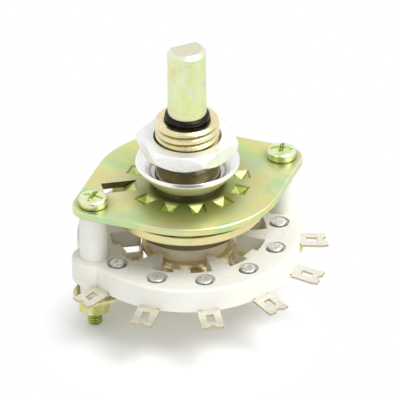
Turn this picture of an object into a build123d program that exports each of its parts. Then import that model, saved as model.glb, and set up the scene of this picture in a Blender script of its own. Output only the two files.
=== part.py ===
from build123d import *
import math
import os

# Ceramic rotary selector switch, one pole and six positions, for a panel.
# Millimetres. The shaft axis is Z, the knob is up, z = 0 is the top of the index plate,
# and the two clamp screws stand on the X axis.

# Places are STEP_DEG apart all round; the common terminal and the stop tongue share one of them,
# the throws follow it along the front half, and the switch rests on one throw
PLACES = 12
THROWS = 6
STEP_DEG = 360 / PLACES
FIRST_PLACE_DEG = STEP_DEG / 2
TONGUE_DEG = FIRST_PLACE_DEG + 5 * STEP_DEG
COMMON_DEG = TONGUE_DEG
REST_DEG = COMMON_DEG + 3 * STEP_DEG
OVERTRAVEL_DEG = 2.0

# Clearances
RUNNING_FIT = 0.05
LOOSE_FIT = 0.1
SLIP_FIT = 0.02
BALL_FIT = 0.06

# Shaft
SHAFT_R = 3.0
SHAFT_TOP = 23.6
SHAFT_CHAMFER = 0.6
FLAT_FROM_AXIS = 1.2
FLAT_FROM_RING = 1.3
TANG_HALF = 1.7
JOURNAL_R = 1.5
JOURNAL_CHAMFER = 0.25
JOURNAL_PAST_STRAP = 0.8

# Retaining ring, a round wire in a groove
WIRE_R = 0.5
WIRE_GAP_DEG = 40

# Bush, washer and nut
SHOULDER_W = 0.15
SHOULDER_H = 0.75
THREAD_R = 4.95
THREAD_TOP = 11.2
THREAD_CHAMFER = 0.45
SPIGOT_R = 4.2
WASHER_H = 3.2
WASHER_T = 0.65
WASHER_FLOOR_W = 0.9
WASHER_FLARE = 2.15
WASHER_WALL_DEG = 50
WASHER_EDGE = 0.2
NUT_FLATS = 14.0
NUT_T = 3.7
NUT_ABOVE_WASHER = 0.45
NUT_TURN_DEG = 24.2
NUT_CHAMFER_DEG = 30
NUT_BASE_W = 0.1
NUT_BASE_DEG = 45
NUT_SINK = 0.7

# Index plate
PLATE_T = 1.1
PLATE_R = 14.6
EAR_R = 3.2
PLATE_EDGE = 0.15
PIT_RADIUS = 8.4
PIT_SIDE = 2.6
PIT_DEPTH = 0.85
PIT_FLOOR = 0.06
BUMP_DROP = 0.6
BUMP_SIDE = 2.9
BUMP_FLOOR = 0.9
SLOT_IN = 7.8
SLOT_OUT = 13.3
SLOT_W = 2.9
TONGUE_LENGTH = 2.3
TONGUE_BEND_DEG = 25
TONGUE_SIDE_GAP = 0.12

# Detent
BALL_R = 1.5
BALL_FIRST_DEG = 0
DISC_PAST_BALLS = 3.6
DISC_T = 1.5
DISC_EDGE = 0.2
BALL_ABOVE_DISC = 1.3
LUG_IN = 9.25
LUG_OUT = 10.5
LUG_BELOW_BUMP = 0.12
LUG_HALF_DEG = 7
SPRING_T = 0.3
SPRING_W = 4.4
SPRING_HUB_R = 4.6
SPRING_REACH = 9.6
SPRING_BOW = 0.55

# Insulating disc and rotor drum
INSULATOR_R = 8.3
INSULATOR_T = 1.5
INSULATOR_TOP = -6.2
DRUM_R = 6.3
DRUM_ABOVE_STRAP = 0.5
DRUM_EDGE = 0.3

# Stator
STATOR_TOP = -9.3
STATOR_T = 4.1
STATOR_EAR_R = 3.4
STATOR_EDGE = 0.4
WINDOW_R = 12.1
RING_W = 5.1
SCREW_FROM_WINDOW = 3.9
RIVET_FROM_WINDOW = 2.1
TOOTH_CLEAR = 0.2
TOOTH_TIP_HALF = 0.4
TOOTH_ROOT_HALF = 1.6
TOOTH_T = 2.8
STUB_L = 1.0
STUB_W = 2.6
TEETH = PLACES // 2

# Rivets
RIVET_SHANK_R = 0.9
RIVET_HEAD_R = 1.4
RIVET_HEAD_H = 0.5
RIVET_DIMPLE_R = 0.6
RIVET_DIMPLE_DEPTH = 0.3
POCKET_R = 1.65
POCKET_DEPTH = 0.3

# Terminals
STRIP_T = 0.35
STRIP_W = 2.3
STRIP_SEAT = 0.55
LUG_W = 3.5
LUG_FROM_RING = 0.2
LUG_FLAT_L = 0.6
LUG_L = 2.8
TIP_L = 0.9
LUG_DROP_DEG = 9
TIP_DROP_DEG = -4
EYE_W = 1.2
EYE_L = 1.7
EYE_FROM_BEND = 1.4
NOTCH_W = 1.3
NOTCH_L = 0.9
BEND_R = 0.5
FINGER_CLEAR = 0.06
FINGER_BELOW_RIM = 0.35

# Rotor contact: a collector rim that always meets the common finger, a band and one nose
BAND_TOP = -11.0
BAND_H = 2.8
BAND_DEPTH = 0.6
BAND_PROUD = 0.2
RIM_PROUD = 0.9
RIM_H = 0.6
NOSE_HALF_DEG = 8

# Clamp screws, spacers, strap and nuts
SCREW_R = 1.15
SCREW_HEAD_R = 2.25
SCREW_HEAD_SIDE = 0.9
SCREW_HEAD_DOME = 0.75
SCREW_END = -21.6
SCREW_CHAMFER = 0.3
RECESS_W = 0.75
RECESS_L = 2.7
RECESS_DEPTH = 1.0
RECESS_TAPER_DEG = 14
SCREW_TURN_DEG = 40
SPACER_R = 2.2
LOWER_SPACER_H = 2.6
STRAP_W = 6.6
STRAP_T = 0.6
CLAMP_NUT_FLATS = 4.5
CLAMP_NUT_T = 2.4
CLAMP_NUT_SINK = 0.25

# Levels and fits that follow from the sizes above
stator_r = WINDOW_R + RING_W
ear_x = WINDOW_R + SCREW_FROM_WINDOW
rivet_radius = WINDOW_R + RIVET_FROM_WINDOW
washer_top = SHOULDER_H + WASHER_H
nut_bottom = washer_top + NUT_ABOVE_WASHER
ring_level = THREAD_TOP + WIRE_R + RUNNING_FIT
groove_r = SHAFT_R - WIRE_R - SLIP_FIT
groove_bottom = ring_level - WIRE_R - SLIP_FIT
groove_top = ring_level + WIRE_R + SLIP_FIT
bump_bottom = -PLATE_T - BUMP_DROP
ball_level = bump_bottom - BALL_FIT - BALL_R
disc_r = PIT_RADIUS + DISC_PAST_BALLS
disc_top = ball_level + BALL_R - BALL_ABOVE_DISC
disc_bottom = disc_top - DISC_T
spring_end = ball_level - BALL_R
stator_bottom = STATOR_TOP - STATOR_T
strap_top = stator_bottom - LOWER_SPACER_H
strap_bottom = strap_top - STRAP_T
drum_top = INSULATOR_TOP - INSULATOR_T
drum_bottom = strap_top + DRUM_ABOVE_STRAP
band_r = DRUM_R + BAND_PROUD
nose_r = DRUM_R + RIM_PROUD
tooth_tip_r = nose_r + TOOTH_CLEAR
strip_top = stator_bottom + STRIP_SEAT
lug_root = stator_r + LUG_FROM_RING
rim_bottom = BAND_TOP - RIM_H
finger_top = rim_bottom - FINGER_BELOW_RIM
screw_hole_r = SCREW_R + LOOSE_FIT
places = [FIRST_PLACE_DEG + STEP_DEG * i for i in range(PLACES)]
throw_places = [COMMON_DEG + STEP_DEG * (i + 1) for i in range(THROWS)]
ON_FLOOR = (Align.CENTER, Align.CENTER, Align.MIN)
OUTWARD = (Align.MIN, Align.CENTER)


def rod(radius, bottom, top):
    """A round bar on the shaft axis between two levels."""
    return Pos(0, 0, bottom) * Cylinder(radius, top - bottom, align=ON_FLOOR)


def tube(outer, inner, bottom, top):
    """A round tube on the shaft axis between two levels."""
    return rod(outer, bottom, top) - rod(inner, bottom, top)


def slab(sketch, bottom, top):
    """A flat outline raised between two levels."""
    return Pos(0, 0, bottom) * extrude(sketch, top - bottom)


def turned(degrees, shape):
    """A shape turned about the shaft axis."""
    return Rot(0, 0, degrees) * shape


def rim(solid, level, radius):
    """The round edges of one radius at one level."""
    edges = solid.edges().filter_by(GeomType.CIRCLE)
    return [e for e in edges if abs(e.center().Z - level) < 1e-4 and abs(e.radius - radius) < 1e-4]


def hexagon(flats, bore_r, sink, bottom, height, base_r, base_deg):
    """A hexagon nut on a round base, chamfered at both ends from the corners and countersunk."""
    corner_r = flats / math.sqrt(3)
    blank = Pos(0, 0, bottom) * extrude(RegularPolygon(corner_r, 6), height)
    drop = (corner_r - flats / 2) * math.tan(math.radians(NUT_CHAMFER_DEG))
    rise = (corner_r - base_r) * math.tan(math.radians(base_deg))
    outline = Polyline(
        (bore_r, sink),
        (bore_r + sink, 0),
        (base_r, 0),
        (corner_r, rise),
        (corner_r, height - drop),
        (flats / 2, height),
        (bore_r + sink, height),
        (bore_r, height - sink),
        close=True,
    )
    return blank & Pos(0, 0, bottom) * revolve(Plane.XZ * make_face(outline), Axis.Z)


def eared(centre_r, ear_r):
    """A round plate drawn out in straight lines to an ear at each screw."""
    centre = Circle(centre_r)
    ears = [Pos(side * ear_x, 0) * Circle(ear_r) for side in (-1, 1)]
    return make_hull((centre + ears).edges())


def at_screws(shape):
    """The same shape at both clamp screws, as separate solids."""
    return [Pos(side * ear_x, 0, 0) * shape for side in (-1, 1)]


def tang_hole(radius, bottom, top, clearance):
    """The hole that fits the two flats of the shaft's tang."""
    across = 2 * (TANG_HALF + clearance)
    return rod(radius + clearance, bottom, top) & slab(Rectangle(4 * radius, across), bottom, top)


os.makedirs("parts", exist_ok=True)
nodes = {}

# Shaft: D end eased for the knob, ring groove, round length in the bush, tang for disc and drum, rear journal
shaft_end = strap_bottom - JOURNAL_PAST_STRAP
flat_start = groove_top + FLAT_FROM_RING
knob_r = SHAFT_R - SLIP_FIT
knob_end = rod(knob_r, flat_start, SHAFT_TOP)
knob_end = chamfer(rim(knob_end, SHAFT_TOP, knob_r), SHAFT_CHAMFER)
flat_cut = Rectangle(2 * SHAFT_R, SHAFT_R, align=(Align.CENTER, Align.MIN))
knob_end -= Pos(0, FLAT_FROM_AXIS, 0) * slab(flat_cut, flat_start, SHAFT_TOP)
shaft = rod(SHAFT_R, disc_top, flat_start) + knob_end
shaft -= tube(2 * SHAFT_R, groove_r, groove_bottom, groove_top)
shaft += tang_hole(SHAFT_R, drum_bottom, disc_top, 0)
journal = rod(JOURNAL_R, shaft_end, drum_bottom)
shaft += chamfer(rim(journal, shaft_end, JOURNAL_R), JOURNAL_CHAMFER)
nodes["shaft"] = shaft

# Retaining ring: open round wire, its gap at the back
wire_path = CenterArc((0, 0, ring_level), SHAFT_R, 90 + WIRE_GAP_DEG / 2, 360 - WIRE_GAP_DEG)
wire_face = Plane(origin=wire_path @ 0, z_dir=wire_path % 0) * Circle(WIRE_R)
nodes["retaining_ring"] = sweep(wire_face, path=wire_path)

# Threaded bush: spigot in the plate, shoulder under the washer, thread to the ring
washer_hole = THREAD_R + LOOSE_FIT
bush = rod(washer_hole + SHOULDER_W, 0, SHOULDER_H) + rod(SPIGOT_R, -PLATE_T, 0)
thread = rod(THREAD_R, SHOULDER_H, THREAD_TOP)
bush += chamfer(rim(thread, THREAD_TOP, THREAD_R), THREAD_CHAMFER)
nodes["threaded_bush"] = bush - rod(SHAFT_R + RUNNING_FIT, -PLATE_T, THREAD_TOP)

# Dished washer with its lip up, and the nut, on the thread
washer_floor_r = washer_hole + WASHER_FLOOR_W
washer_r = washer_floor_r + WASHER_FLARE
wall_slope = math.tan(math.radians(WASHER_WALL_DEG))
wall_w = WASHER_T / math.sin(math.radians(WASHER_WALL_DEG))
wall_h = WASHER_FLARE * wall_slope
dish_side = Polyline(
    (washer_hole, 0),
    (washer_floor_r, 0),
    (washer_r, wall_h),
    (washer_r, WASHER_H),
    (washer_floor_r + WASHER_H / wall_slope - wall_w, WASHER_H),
    (washer_floor_r + WASHER_T / wall_slope - wall_w, WASHER_T),
    (washer_hole, WASHER_T),
    close=True,
)
washer = Pos(0, 0, SHOULDER_H) * revolve(Plane.XZ * make_face(dish_side), Axis.Z)
lip_edge = min(WASHER_EDGE, (WASHER_H - wall_h) / 2)
nodes["mounting_washer"] = fillet(rim(washer, washer_top, washer_r), lip_edge)
nut_base_r = THREAD_R + NUT_SINK + NUT_BASE_W
nut = hexagon(NUT_FLATS, THREAD_R, NUT_SINK, nut_bottom, NUT_T, nut_base_r, NUT_BASE_DEG)
nodes["mounting_nut"] = turned(NUT_TURN_DEG, nut)

# Index plate: pressed pits with bumps below, one lanced tongue, screw holes
plate = slab(eared(PLATE_R, EAR_R), -PLATE_T, 0)
plate = chamfer(plate.faces().sort_by(Axis.Z)[-1].edges(), PLATE_EDGE)
plate -= rod(SPIGOT_R, -PLATE_T, 0)
plate -= at_screws(rod(screw_hole_r, -PLATE_T, 0))
bump_slope = math.degrees(math.atan((BUMP_SIDE - BUMP_FLOOR) / 2 / BUMP_DROP))
pit_slope = math.degrees(math.atan((PIT_SIDE - PIT_FLOOR) / 2 / PIT_DEPTH))
bump = Pos(0, 0, -PLATE_T) * extrude(Rectangle(BUMP_SIDE, BUMP_SIDE), -BUMP_DROP, taper=bump_slope)
pit = extrude(Rectangle(PIT_SIDE, PIT_SIDE), -PIT_DEPTH, taper=pit_slope)
pit_places = [a for a in places if a != TONGUE_DEG]
plate += [turned(a, Pos(PIT_RADIUS, 0, 0) * bump) for a in pit_places]
plate -= [turned(a, Pos(PIT_RADIUS, 0, 0) * pit) for a in pit_places]
slot_l = SLOT_OUT - SLOT_IN
slot = Pos(SLOT_IN + slot_l / 2, 0, 0) * Rectangle(slot_l, SLOT_W)
plate -= turned(TONGUE_DEG, slab(slot, -PLATE_T, 0))
bend = math.radians(TONGUE_BEND_DEG)
tongue_r = SLOT_IN + TONGUE_LENGTH * math.cos(bend)
tongue_z = -TONGUE_LENGTH * math.sin(bend)
back_r = SLOT_IN - PLATE_T * math.sin(bend)
tongue_side = Polyline(
    (SLOT_IN, 0),
    (tongue_r, tongue_z),
    (tongue_r - PLATE_T * math.sin(bend), tongue_z - PLATE_T * math.cos(bend)),
    (back_r, -PLATE_T * math.cos(bend)),
    (back_r, 0),
    close=True,
)
tongue = extrude(Plane.XZ * make_face(tongue_side), SLOT_W / 2 - TONGUE_SIDE_GAP, both=True)
nodes["index_plate"] = plate + turned(TONGUE_DEG, tongue)

# Detent disc: ball holes and two raised stop lugs that meet the tongue just past the end places
tongue_half = math.degrees(math.asin((SLOT_W / 2 - TONGUE_SIDE_GAP) / LUG_IN))
stop_gap = OVERTRAVEL_DEG + tongue_half + LUG_HALF_DEG
lug_places = (
    TONGUE_DEG - (throw_places[-1] - REST_DEG) - stop_gap,
    TONGUE_DEG + (REST_DEG - throw_places[0]) + stop_gap,
)
lug_top = bump_bottom - LUG_BELOW_BUMP
ball_angles = (BALL_FIRST_DEG, BALL_FIRST_DEG + 180)
disc = rod(disc_r, disc_bottom, disc_top)
disc = fillet(rim(disc, disc_top, disc_r) + rim(disc, disc_bottom, disc_r), DISC_EDGE)
disc -= tang_hole(SHAFT_R, disc_bottom, disc_top, SLIP_FIT)
ball_hole = Pos(PIT_RADIUS, 0, 0) * rod(BALL_R + BALL_FIT, disc_bottom, disc_top)
disc -= [turned(a, ball_hole) for a in ball_angles]
lug_side = Polyline(
    (LUG_IN, disc_top - DISC_T / 2),
    (LUG_OUT, disc_top - DISC_T / 2),
    (LUG_OUT, lug_top),
    (LUG_IN, lug_top),
    close=True,
)
lug = revolve(Plane.XZ * make_face(lug_side), Axis.Z, 2 * LUG_HALF_DEG)
nodes["detent_disc"] = disc + [turned(a - LUG_HALF_DEG, lug) for a in lug_places]

# Detent balls and the bowed leaf spring that lifts them
for name, angle in zip(("detent_ball_a", "detent_ball_b"), ball_angles):
    nodes[name] = turned(angle, Pos(PIT_RADIUS, 0, ball_level) * Sphere(BALL_R))
bow = ThreePointArc((-SPRING_REACH, spring_end), (0, spring_end - SPRING_BOW), (SPRING_REACH, spring_end))
leaf_lines = bow + Pos(0, -SPRING_T) * bow
leaf_lines += Line(bow @ 0, (bow @ 0) - Vector(0, SPRING_T)) + Line(bow @ 1, (bow @ 1) - Vector(0, SPRING_T))
leaf = extrude(Plane.XZ * make_face(leaf_lines), SPRING_HUB_R, both=True)
spring_low = spring_end - SPRING_BOW - SPRING_T
leaf &= slab(Rectangle(2 * SPRING_REACH, SPRING_W) + Circle(SPRING_HUB_R), spring_low, spring_end)
leaf = turned(BALL_FIRST_DEG, leaf) - tang_hole(SHAFT_R, spring_low, spring_end, SLIP_FIT)
nodes["detent_spring"] = leaf

# Insulating disc, ceramic drum and the contact band with its nose
insulator = rod(INSULATOR_R, drum_top, INSULATOR_TOP)
nodes["insulating_disc"] = insulator - tang_hole(SHAFT_R, drum_top, INSULATOR_TOP, SLIP_FIT)
drum = rod(DRUM_R, drum_bottom, drum_top)
drum = fillet(rim(drum, drum_bottom, DRUM_R), DRUM_EDGE)
drum -= tube(2 * DRUM_R, DRUM_R - BAND_DEPTH, BAND_TOP - BAND_H, BAND_TOP)
nodes["rotor_drum"] = drum - tang_hole(SHAFT_R, drum_bottom, drum_top, SLIP_FIT)
band_bottom = BAND_TOP - BAND_H
band = tube(band_r, DRUM_R - BAND_DEPTH, band_bottom, BAND_TOP)
band += tube(nose_r, DRUM_R - BAND_DEPTH, rim_bottom, BAND_TOP)
nose_h = finger_top - band_bottom
nose_side = Pos(DRUM_R, band_bottom + nose_h / 2) * Ellipse(RIM_PROUD, nose_h / 2)
nose_side &= Pos(DRUM_R, band_bottom) * Rectangle(nose_h, nose_h, align=(Align.MIN, Align.MIN))
nose = revolve(Plane.XZ * nose_side, Axis.Z, 2 * NOSE_HALF_DEG)
nodes["rotor_contact"] = band + turned(REST_DEG - NOSE_HALF_DEG, nose)

# Stator: ring with screw ears, tapered teeth between windows, stubs, rivet holes and pockets,
# and below it a shallow seat for each terminal that also clears the lug beside an ear
ring_outline = Circle(stator_r) + [Pos(side * ear_x, 0) * Circle(STATOR_EAR_R) for side in (-1, 1)]
ring = slab(ring_outline, stator_bottom, STATOR_TOP)
outer_edges = ring.faces().sort_by(Axis.Z)[-1].edges() + ring.faces().sort_by(Axis.Z)[0].edges()
ring = fillet(outer_edges, STATOR_EDGE)
ring -= rod(WINDOW_R, stator_bottom, STATOR_TOP)
tooth_outline = make_face(
    Polyline(
        (tooth_tip_r, -TOOTH_TIP_HALF),
        (WINDOW_R, -TOOTH_ROOT_HALF),
        (WINDOW_R + TOOTH_TIP_HALF, -TOOTH_ROOT_HALF),
        (WINDOW_R + TOOTH_TIP_HALF, TOOTH_ROOT_HALF),
        (WINDOW_R, TOOTH_ROOT_HALF),
        (tooth_tip_r, TOOTH_TIP_HALF),
        close=True,
    )
)
tooth = slab(tooth_outline, STATOR_TOP - TOOTH_T, STATOR_TOP)
stub_l = STUB_L + TOOTH_TIP_HALF
stub = slab(Pos(WINDOW_R - STUB_L + stub_l / 2, 0) * Rectangle(stub_l, STUB_W), stator_bottom, STATOR_TOP)
ring += [turned(STEP_DEG + a * 360 / TEETH, tooth) for a in range(TEETH)]
ring += [turned(a * 360 / TEETH, stub) for a in range(TEETH)]
rivet_hole = Pos(rivet_radius, 0, 0) * rod(RIVET_SHANK_R + RUNNING_FIT, stator_bottom, STATOR_TOP)
pocket = Pos(rivet_radius, 0, 0) * rod(POCKET_R, STATOR_TOP - POCKET_DEPTH, STATOR_TOP)
ring -= [turned(a, rivet_hole) for a in places]
ring -= [turned(a, pocket) for a in places]
seat_plan = Rectangle(lug_root, STRIP_W + 2 * LOOSE_FIT, align=OUTWARD)
seat_plan += Pos(rivet_radius, 0) * Circle(POCKET_R + LOOSE_FIT)
seat_plan += Pos(lug_root - LOOSE_FIT, 0) * Rectangle(LUG_W, LUG_W + 2 * LOOSE_FIT, align=OUTWARD)
strip_seat = slab(seat_plan, stator_bottom, strip_top)
ring -= [turned(a, strip_seat) for a in [COMMON_DEG] + throw_places]
nodes["stator"] = ring - at_screws(rod(screw_hole_r, stator_bottom, STATOR_TOP))

# Terminals: riveted strip, a finger that curls up beside the rotor contact, and a solder lug
strip_mid = strip_top - STRIP_T / 2
lug_bend_at = lug_root + LUG_FLAT_L
tip_bend_at = lug_bend_at + LUG_L
tip_r = tip_bend_at + TIP_L
eye_at = lug_bend_at + EYE_FROM_BEND
finger_r = nose_r + FINGER_CLEAR + STRIP_T / 2
lug_fall = math.tan(math.radians(LUG_DROP_DEG))
tip_fall = math.tan(math.radians(TIP_DROP_DEG))
tip_bend_z = strip_mid - LUG_L * lug_fall
rivet_eye = Pos(rivet_radius, 0) * Circle(POCKET_R)
rivet_bore = Pos(rivet_radius, 0) * Circle(RIVET_SHANK_R)


def bent_strip(points, plan):
    """A strip along +X bent through points of its side view and trimmed to its flat plan."""
    path = FilletPolyline(*points, radius=BEND_R)
    bent = extrude(Plane.XZ * trace(path, STRIP_T), LUG_W, both=True)
    return bent & slab(plan, SCREW_END, BAND_TOP)


throw_lug = Rectangle(tip_r + STRIP_T - lug_root, LUG_W, align=OUTWARD)
throw_plan = Pos(lug_root, 0) * throw_lug
throw_plan += Rectangle(lug_root, STRIP_W, align=OUTWARD) + rivet_eye
throw_plan -= rivet_bore
throw_plan -= Pos(eye_at, 0) * Rectangle(EYE_L, EYE_W)
throw_plan -= Pos(tip_r + STRIP_T, 0) * Ellipse(NOTCH_L, NOTCH_W / 2)
throw_points = (
    (finger_r, finger_top),
    (finger_r, strip_mid),
    (lug_bend_at, strip_mid),
    (tip_bend_at, tip_bend_z),
    (tip_r, tip_bend_z - TIP_L * tip_fall),
)
throw = bent_strip(throw_points, throw_plan)
for number, angle in enumerate(throw_places, 1):
    nodes[f"throw_terminal_{number}"] = turned(angle, throw)

# Common terminal: a longer finger for the collector rim and a plain lug bent down past the ring
common_plan = Rectangle(2 * lug_bend_at, STRIP_W) + rivet_eye - rivet_bore
common_lug_r = stator_r + LOOSE_FIT + STRIP_T / 2
common_points = (
    (finger_r, BAND_TOP),
    (finger_r, strip_mid),
    (common_lug_r, strip_mid),
    (common_lug_r, strap_bottom),
)
nodes["common_terminal"] = turned(COMMON_DEG, bent_strip(common_points, common_plan))

# Rivets: domed and dimpled head in the pocket, shank, plain head under the strip
seat = STATOR_TOP - POCKET_DEPTH
head_top = seat + RIVET_HEAD_H
tail = strip_top - STRIP_T
rivet_half = Polyline(
    (0, head_top - RIVET_DIMPLE_DEPTH),
    (RIVET_DIMPLE_R, head_top),
    (RIVET_HEAD_R - RIVET_HEAD_H / 2, head_top),
    (RIVET_HEAD_R, seat + RIVET_HEAD_H / 2),
    (RIVET_HEAD_R, seat),
    (RIVET_SHANK_R, seat),
    (RIVET_SHANK_R, tail),
    (RIVET_HEAD_R, tail),
    (RIVET_HEAD_R - RIVET_HEAD_H / 2, tail - RIVET_HEAD_H),
    (0, tail - RIVET_HEAD_H),
    close=True,
)
rivet = Pos(rivet_radius, 0, 0) * revolve(Plane.XZ * make_face(rivet_half), Axis.Z)
nodes["contact_rivets"] = Compound([turned(a, rivet) for a in [COMMON_DEG] + throw_places])

# Clamp screws: domed heads with a cross recess
head_side = Polyline((0, SCREW_HEAD_SIDE), (0, 0), (SCREW_HEAD_R, 0), (SCREW_HEAD_R, SCREW_HEAD_SIDE))
head_top_z = SCREW_HEAD_SIDE + SCREW_HEAD_DOME
dome = EllipticalCenterArc((0, SCREW_HEAD_SIDE), SCREW_HEAD_R, SCREW_HEAD_DOME, start_angle=0, arc_size=90)
head = revolve(Plane.XZ * make_face(head_side + dome + Line((0, head_top_z), (0, SCREW_HEAD_SIDE))), Axis.Z)
bar = Pos(0, 0, head_top_z) * extrude(Rectangle(RECESS_L, RECESS_W), -RECESS_DEPTH, taper=RECESS_TAPER_DEG)
head -= [turned(a, bar) for a in (0, 90)]
shank = rod(SCREW_R, SCREW_END, 0)
screw = head + chamfer(rim(shank, SCREW_END, SCREW_R), SCREW_CHAMFER)
nodes["clamp_screws"] = Compound(at_screws(turned(SCREW_TURN_DEG, screw)))

# Spacers above and below the stator, strap and nuts behind it
for name, x in (("left", -ear_x), ("right", ear_x)):
    nodes[f"upper_spacer_{name}"] = Pos(x, 0, 0) * tube(SPACER_R, screw_hole_r, STATOR_TOP, -PLATE_T)
    nodes[f"lower_spacer_{name}"] = Pos(x, 0, 0) * tube(SPACER_R, screw_hole_r, strap_top, stator_bottom)
strap = slab(SlotOverall(2 * ear_x + STRAP_W, STRAP_W), strap_bottom, strap_top)
strap -= rod(JOURNAL_R + RUNNING_FIT, strap_bottom, strap_top)
nodes["rear_strap"] = strap - at_screws(rod(screw_hole_r, strap_bottom, strap_top))
clamp_bottom = strap_bottom - CLAMP_NUT_T
clamp_base_r = CLAMP_NUT_FLATS / 2
clamp_nut = hexagon(
    CLAMP_NUT_FLATS, SCREW_R, CLAMP_NUT_SINK, clamp_bottom, CLAMP_NUT_T, clamp_base_r, NUT_CHAMFER_DEG
)
nodes["clamp_nuts"] = Compound(at_screws(clamp_nut))

for name, shape in nodes.items():
    export_step(shape, f"parts/{name}.step")
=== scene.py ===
"""Ceramic rotary selector switch: finishes, threads, nut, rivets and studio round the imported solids."""
import logging
import math
from dataclasses import dataclass
from enum import Enum
from typing import Mapping, Sequence, Union

import bmesh
import bpy
import numpy as np
from mathutils import Matrix, Vector


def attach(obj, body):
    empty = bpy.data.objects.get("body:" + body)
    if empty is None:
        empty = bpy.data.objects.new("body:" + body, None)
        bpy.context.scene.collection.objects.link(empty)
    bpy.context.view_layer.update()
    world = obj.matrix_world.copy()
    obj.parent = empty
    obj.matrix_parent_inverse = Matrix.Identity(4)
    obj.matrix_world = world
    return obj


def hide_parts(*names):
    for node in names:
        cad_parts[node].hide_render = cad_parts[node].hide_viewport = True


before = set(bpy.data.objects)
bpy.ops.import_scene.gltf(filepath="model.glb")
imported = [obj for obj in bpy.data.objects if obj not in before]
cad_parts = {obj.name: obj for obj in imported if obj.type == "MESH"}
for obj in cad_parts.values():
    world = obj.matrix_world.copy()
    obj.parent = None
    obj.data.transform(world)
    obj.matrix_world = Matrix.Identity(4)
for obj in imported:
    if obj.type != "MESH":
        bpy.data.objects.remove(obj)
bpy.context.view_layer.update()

log = logging.getLogger("selector_switch")

MM = 0.001
FULL_TURN = 2 * math.pi
UP = 2
WELD_MM = 1e-4
SLIVER_MM = 1e-5
NOISE_ROUGHNESS = 0.55
SHELTER_SAMPLES = 8
EDGE_SAMPLES = 6
STILL_BODY = "switch_body"

Pair = tuple[float, float]
Triple = tuple[float, float, float]
Colour = Triple
Patch = tuple[Colour, Triple]
Stops = Sequence[tuple[float, Colour]]
Operand = Union["Value", float]

WHITE: Colour = (1.0, 1.0, 1.0)


def rgba(colour: Colour) -> tuple[float, float, float, float]:
    """An opaque colour for a socket."""
    return (*colour, 1.0)


@dataclass(frozen=True)
class Cloud:
    """A noise pattern: blotches in a millimetre, finer layers, distortion, and where it is cut if it is."""

    per_mm: float
    detail: float
    swirl: float = 0.0
    cut: Pair | None = None


class Value:
    """A shader socket that takes part in Python expressions."""

    def __init__(self, net: "Net", socket: bpy.types.NodeSocket) -> None:
        """Keeps the socket and the network that it belongs to."""
        self.net = net
        self.socket = socket

    def __add__(self, other: Operand) -> "Value":
        """Sum."""
        return self.net.math("ADD", self, other)

    def __radd__(self, other: Operand) -> "Value":
        """Sum with a number on the left."""
        return self.net.math("ADD", other, self)

    def __sub__(self, other: Operand) -> "Value":
        """Difference."""
        return self.net.math("SUBTRACT", self, other)

    def __rsub__(self, other: Operand) -> "Value":
        """Difference from a number on the left."""
        return self.net.math("SUBTRACT", other, self)

    def __mul__(self, other: Operand) -> "Value":
        """Product."""
        return self.net.math("MULTIPLY", self, other)

    def __rmul__(self, other: Operand) -> "Value":
        """Product with a number on the left."""
        return self.net.math("MULTIPLY", other, self)

    def __mod__(self, other: Operand) -> "Value":
        """Remainder that is never negative."""
        return self.net.math("FLOORED_MODULO", self, other)

    def __abs__(self) -> "Value":
        """Size without sign."""
        return self.net.math("ABSOLUTE", self)

    def larger(self, other: Operand) -> "Value":
        """The larger of two values."""
        return self.net.math("MAXIMUM", self, other)

    def step(self, low: float, high: float) -> "Value":
        """A smooth step, from 0 at the low value to 1 at the high one."""
        settings = {"interpolation_type": "SMOOTHSTEP"}
        return self.net.node("ShaderNodeMapRange", settings, {0: self, 1: low, 2: high})

    def band(self, rise: Pair, fall: Pair) -> "Value":
        """1 between a step up and a step down, 0 outside."""
        return self.step(*rise) * (1.0 - self.step(*fall))


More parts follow.
